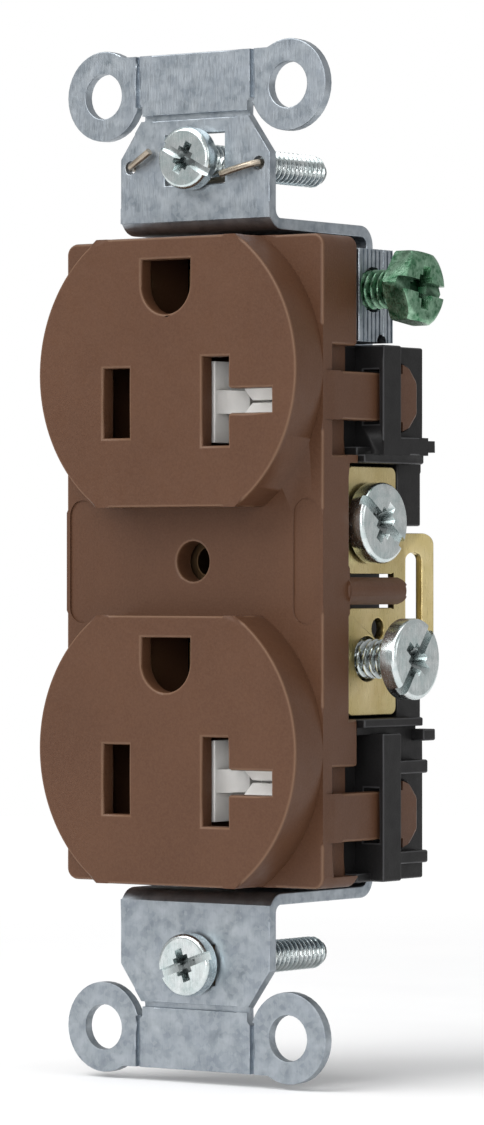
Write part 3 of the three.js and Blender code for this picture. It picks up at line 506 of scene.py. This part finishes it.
def carved(mesh: bpy.types.Mesh, cutters: list[bpy.types.Mesh], how: str = "DIFFERENCE") -> bpy.types.Mesh:
    """Cuts closed meshes out of another, or keeps what they share.

    Args:
        mesh: the mesh to cut.
        cutters: what is cut from it, or kept.
        how: DIFFERENCE to cut, INTERSECT to keep.

    Returns:
        The carved mesh.
    """
    target = bpy.data.objects.new("carving", mesh)
    bpy.context.scene.collection.objects.link(target)
    tools = []
    for cutter in cutters:
        tool = bpy.data.objects.new("cutter", cutter)
        bpy.context.scene.collection.objects.link(tool)
        step = target.modifiers.new("cut", "BOOLEAN")
        step.operation = how
        step.solver = "EXACT"
        step.object = tool
        tools.append(tool)
    graph = bpy.context.evaluated_depsgraph_get()
    result = bpy.data.meshes.new_from_object(target.evaluated_get(graph))
    for item in (target, *tools):
        bpy.data.objects.remove(item)
    return result


def wedge(length: float, width: float, top: float, bottom: float, foot: float) -> bpy.types.Mesh:
    """A bar across a screw's axis that narrows as it goes in.

    Args:
        length: end to end at the top.
        width: across the bar at the top.
        top: y of the wide end.
        bottom: y of the narrow end.
        foot: the narrow end's share of the length and width.

    Returns:
        The closed mesh.
    """
    shape = bmesh.new()
    corners = []
    for y, share in ((top, 1.0), (bottom, foot)):
        for sx, sz in ((-1, -1), (1, -1), (1, 1), (-1, 1)):
            corners.append(shape.verts.new((sx * length / 2 * share, y, sz * width / 2 * share)))
    for face in ((0, 1, 2, 3), (7, 6, 5, 4), (0, 4, 5, 1), (1, 5, 6, 2), (2, 6, 7, 3), (3, 7, 4, 0)):
        shape.faces.new([corners[i] for i in face])
    bmesh.ops.recalc_face_normals(shape, faces=shape.faces)
    mesh = bpy.data.meshes.new("wedge")
    shape.to_mesh(mesh)
    shape.free()
    return mesh


class Side(Enum):
    """Where a screw goes in, as the turn about Z that points it there."""

    RIGHT = math.pi / 2
    LEFT = -math.pi / 2
    FRONT = 0.0


class Head(Enum):
    """The outline of a screw's head, as its number of sides."""

    ROUND = 48
    HEXAGON = 6


@dataclass
class Screw:
    """A machine screw with a real thread and a combination slot and cross recess.

    Its length and the radius of its head come from its CAD node.
    """

    node: str
    side: Side
    finish: SheetMetal
    head_height: float
    shank_radius: float
    roll: float = 0.0
    head: Head = Head.ROUND
    pitch: float = 0.794 * MM
    thread_depth: float = 0.42 * MM
    slot_width: float = 1.1 * MM
    recess_depth: float = 1.3 * MM
    rim: float = 0.5 * MM
    sides: int = 28
    steps: int = 8

    def __post_init__(self) -> None:
        """Measures the CAD node."""
        low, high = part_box(self.node)
        size = high - low
        self.head_radius = size.z / 2
        self.length = (size.y if self.side is Side.FRONT else size.x) - self.head_height

    def rod(self) -> bpy.types.Mesh:
        """Winds the thread, running out under the head and tapering at the tip.

        Returns:
            The closed threaded rod, its seat at y = 0.
        """
        shape = bmesh.new()
        start = -0.3 * MM
        count = int((self.length - start) / self.pitch * self.steps)
        rings = []
        for k in range(count + 1):
            y = start + (self.length - start) * k / count
            runout = min(1.0, max(0.0, (y - 0.3 * MM) / self.pitch))
            taper = min(1.0, max(0.0, (self.length - y) / self.pitch))
            ring = []
            for j in range(self.sides):
                angle = 2 * math.pi * j / self.sides
                phase = (y / self.pitch - j / self.sides) % 1.0
                groove = min(1.0, max(0.0, 1.5 * (1 - abs(2 * phase - 1)) - 0.3))
                radius = self.shank_radius - self.thread_depth * (groove * runout)
                radius -= self.thread_depth * 0.8 * (1 - taper)
                ring.append(shape.verts.new((radius * math.cos(angle), y, radius * math.sin(angle))))
            rings.append(ring)
        for low, high in zip(rings, rings[1:]):
            for i in range(self.sides):
                j = (i + 1) % self.sides
                shape.faces.new((low[i], low[j], high[j], high[i]))
        shape.faces.new(rings[0][::-1])
        shape.faces.new(rings[-1])
        bmesh.ops.recalc_face_normals(shape, faces=shape.faces)
        mesh = bpy.data.meshes.new("rod")
        shape.to_mesh(mesh)
        shape.free()
        return mesh

    def cap(self) -> bpy.types.Mesh:
        """Turns the head with a rounded rim and cuts the driver recess.

        Returns:
            The closed head, its seat at y = 0.
        """
        r, h, rim = self.head_radius, self.head_height, self.rim
        quarter = [math.radians(90 * i / 4) for i in range(5)]
        profile = [(r - 0.12 * MM, 0.0), (r, -0.14 * MM)]
        profile += [(r - rim * (1 - math.cos(a)), -h + rim * (1 - math.sin(a))) for a in quarter]
        top = -h - 0.2 * MM
        bottom = -h + self.recess_depth
        slot = wedge(2.4 * r, self.slot_width, top, -h + 0.6 * self.recess_depth, 1.0)
        cross = [
            wedge(1.16 * r, self.slot_width * 1.1, top, bottom, 0.4),
            wedge(self.slot_width * 1.1, 1.16 * r, top, bottom, 0.4),
            wedge(0.62 * r, 0.62 * r, top, bottom, 0.6),
        ]
        blank = lathed(profile, Head.ROUND.value)
        if self.head is Head.HEXAGON:
            prism = lathed([(r, 0.1 * MM), (r, top)], Head.HEXAGON.value)
            blank = carved(blank, [prism], "INTERSECT")
        return carved(blank, [slot, *cross])

    def mark_depth(self, shape: bmesh.types.BMesh) -> None:
        """Stores how deep in the thread or the recess each corner is, for the painted shade there.

        Args:
            shape: the whole screw, its seat at y = 0.
        """
        layer = shape.verts.layers.float.new(DEPTH)
        for corner in shape.verts:
            radius = math.hypot(corner.co.x, corner.co.z)
            below_top = corner.co.y + self.head_height
            if corner.co.y > 0.2 * MM:
                corner[layer] = min(1.0, max(0.0, (self.shank_radius - radius) / self.thread_depth))
            elif below_top > 0.3 * MM and radius < self.head_radius - 0.3 * MM:
                corner[layer] = min(1.0, 1.3 * below_top / self.recess_depth)

    def build(self) -> bpy.types.Object:
        """Builds the screw where its CAD node is.

        Returns:
            The piece.
        """
        shape = bmesh.new()
        for part in (self.cap(), self.rod()):
            shape.from_mesh(part)
        self.mark_depth(shape)
        low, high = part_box(self.node)
        middle = (low + high) / 2
        seat = {
            Side.RIGHT: Vector((high.x - self.head_height, middle.y, middle.z)),
            Side.LEFT: Vector((low.x + self.head_height, middle.y, middle.z)),
            Side.FRONT: Vector((middle.x, low.y + self.head_height, middle.z)),
        }[self.side]
        turn = Matrix.Rotation(self.side.value, 4, "Z") @ Matrix.Rotation(self.roll, 4, "Y")
        shape.transform(Matrix.Translation(seat) @ turn)
        mesh = bpy.data.meshes.new(self.node + "_shape")
        shape.to_mesh(mesh)
        shape.free()
        return show(shaded(mesh, 30.0), self.node + "_turned", self.finish, self.node, self.node)


@dataclass
class Enclosure:
    """The brown front housing and the black rear base that it snaps onto."""

    housing_edge: float = 0.32 * MM
    base_edge: float = 0.2 * MM

    def build(self) -> list[bpy.types.Object]:
        """Builds both mouldings.

        Returns:
            The pieces.
        """
        return [
            show(softened("front_housing", self.housing_edge), "housing_moulding", BROWN, DEVICE, "front_housing"),
            show(softened("rear_base", self.base_edge), "base_moulding", BLACK, DEVICE, "rear_base"),
        ]


@dataclass
class Metalwork:
    """The strap, the terminal plates, the contacts and the small fastened parts."""

    sheet_edge: float = 0.14 * MM
    plate_edge: float = 0.12 * MM
    leaf_edge: float = 0.08 * MM

    def build(self) -> list[bpy.types.Object]:
        """Builds every fixed metal and fibre part.

        Returns:
            The pieces.
        """
        made = [
            ("mounting_strap", "strap_pressing", STEEL, self.sheet_edge),
            ("neutral_terminal_plates", "neutral_plate_pressing", BRASS, self.plate_edge),
            ("hot_terminal_plates", "hot_plate_pressing", BRASS, self.plate_edge),
            # painted shade: the bushing is given the dark brass of the shaded hole
            ("cover_screw_bushing", "cover_bushing_turned", SHADED_BRASS, self.leaf_edge),
            ("lower_screw_washer", "screw_washer_punched", FIBRE, self.leaf_edge),
            ("grounding_wire", "grounding_wire_bent", BRONZE, self.leaf_edge),
        ]
        for row in ("upper", "lower"):
            made += [
                (f"{row}_neutral_contact", f"{row}_neutral_leaves", TIN, self.leaf_edge),
                (f"{row}_hot_contact", f"{row}_hot_leaves", TIN, self.leaf_edge),
                (f"{row}_ground_contact", f"{row}_ground_leaves", BRASS, self.leaf_edge),
                (f"{row}_ground_rivet", f"{row}_ground_rivet_set", STEEL, self.leaf_edge),
            ]
        return [show(softened(node, edge), name, finish, DEVICE, node) for node, name, finish, edge in made]


@dataclass
class ScrewSet:
    """Every screw of the device."""

    head_height: float = 2.0 * MM
    shank_radius: float = 2.05 * MM
    hex_height: float = 2.7 * MM
    mounting_height: float = 1.8 * MM
    mounting_shank: float = 1.72 * MM

    def build(self) -> list[bpy.types.Object]:
        """Builds the seven screws.

        Returns:
            The pieces.
        """
        terminal = (self.head_height, self.shank_radius)
        ground = (self.hex_height, self.shank_radius)
        mounting = (self.mounting_height, self.mounting_shank)
        screws = [
            Screw("upper_neutral_screw", Side.RIGHT, ZINC, *terminal, roll=0.6),
            Screw("lower_neutral_screw", Side.RIGHT, ZINC, *terminal, roll=-0.9),
            Screw("upper_hot_screw", Side.LEFT, BRASS, *terminal, roll=0.3),
            Screw("lower_hot_screw", Side.LEFT, BRASS, *terminal, roll=1.1),
            Screw("ground_screw", Side.RIGHT, GREEN, *ground, roll=0.12, head=Head.HEXAGON,
                  rim=1.0 * MM, slot_width=1.3 * MM, recess_depth=1.6 * MM),
            Screw("upper_mounting_screw", Side.FRONT, ZINC, *mounting, roll=0.5, slot_width=0.9 * MM),
            Screw("lower_mounting_screw", Side.FRONT, ZINC, *mounting, roll=-0.35, slot_width=0.9 * MM),
        ]
        return [screw.build() for screw in screws]


# ---------------------------------------------------------------- studio


@dataclass
class Studio:
    """A pale round floor in a white surround, soft lamps, and the camera."""

    clearance: float = 0.6 * MM
    floor_radius: float = 0.6
    floor_sides: int = 96
    floor_fade: tuple[float, float] = (0.1, 0.34)
    seen_white: float = 1.0
    soft_light: float = 0.5
    camera_place: Colour = (0.32160, -0.43514, -0.00142)
    camera_aim: Colour = (-0.58805, 0.80882, 0.002426)
    lens: float = 166.95

    def floor(self) -> None:
        """Lays the floor, a flat disc just under the device."""
        ground = cad_box[0].z - self.clearance
        shape = bmesh.new()
        centre = Matrix.Translation((0.0, 0.0, ground))
        bmesh.ops.create_circle(shape, cap_ends=True, segments=self.floor_sides, radius=self.floor_radius,
                                matrix=centre)
        mesh = bpy.data.meshes.new("floor")
        shape.to_mesh(mesh)
        shape.free()
        recipe = Recipe("pale_paper")
        tone = recipe.spread(recipe.noise(0.02), 0.0, 1.0)
        paper = recipe.blend(tone, (0.93, 0.93, 0.935), (0.95, 0.95, 0.952))
        fade = recipe.distance(*self.floor_fade)
        recipe.drive("Base Color", recipe.blend(fade, paper, (0.0, 0.0, 0.0)))
        recipe.drive("Emission Strength", fade)
        recipe.shader.inputs["Emission Color"].default_value = (1.0, 1.0, 1.0, 1.0)
        recipe.set("Roughness", 0.95)
        recipe.set("Specular IOR Level", 0.1)
        mesh.materials.append(recipe.material)
        disc = bpy.data.objects.new("studio_floor", mesh)
        bpy.context.scene.collection.objects.link(disc)

    def surround(self) -> None:
        """Puts soft light all round, which the camera sees as plain white."""
        world = bpy.data.worlds.new("studio_air")
        world.use_nodes = True
        tree = world.node_tree
        air = tree.nodes["Background"]
        air.inputs["Color"].default_value = (1.0, 1.0, 1.0, 1.0)
        ray = tree.nodes.new("ShaderNodeLightPath")
        strength = tree.nodes.new("ShaderNodeMapRange")
        strength.inputs["To Min"].default_value = self.soft_light
        strength.inputs["To Max"].default_value = self.seen_white
        tree.links.new(ray.outputs["Is Camera Ray"], strength.inputs["Value"])
        tree.links.new(strength.outputs["Result"], air.inputs["Strength"])
        bpy.context.scene.world = world

    def lamp(self, name: str, place: Colour, size: float, power: float) -> None:
        """Hangs one soft square lamp that faces the device.

        Args:
            name: the lamp's name.
            place: where it hangs.
            size: the side of its square.
            power: its power in watts.
        """
        light = bpy.data.lights.new(name, "AREA")
        light.size = size
        light.energy = power
        lamp = bpy.data.objects.new(name, light)
        lamp.location = place
        lamp.rotation_euler = (-Vector(place)).to_track_quat("-Z", "Y").to_euler()
        bpy.context.scene.collection.objects.link(lamp)

    def camera(self) -> None:
        """Places the camera."""
        lens = bpy.data.cameras.new("camera")
        lens.lens = self.lens
        lens.sensor_width = 36.0
        lens.clip_start = 0.01
        eye = bpy.data.objects.new("camera", lens)
        eye.location = self.camera_place
        eye.rotation_euler = Vector(self.camera_aim).to_track_quat("-Z", "Y").to_euler()
        bpy.context.scene.collection.objects.link(eye)
        bpy.context.scene.camera = eye

    def build(self) -> None:
        """Sets up the whole studio."""
        self.floor()
        self.lamp("key", (-0.25, -0.6, 0.65), 0.75, 6.2)
        self.lamp("camera_side", (0.36, -0.76, 0.16), 0.35, 1.9)
        self.lamp("right_fill", (0.9, -0.1, 0.3), 0.5, 0.8)
        self.lamp("top", (0.0, -0.1, 0.9), 0.6, 2.0)
        self.surround()
        bpy.context.scene.view_settings.view_transform = "Standard"
        self.camera()


def main() -> None:
    """Builds the outlet's pieces and the studio."""
    logging.basicConfig(level=logging.INFO, format="%(message)s")
    Studio().build()
    pieces = [*Enclosure().build(), *Metalwork().build(), *ScrewSet().build()]
    log.info("%d pieces", len(pieces))


if __name__ == "__main__":
    main()
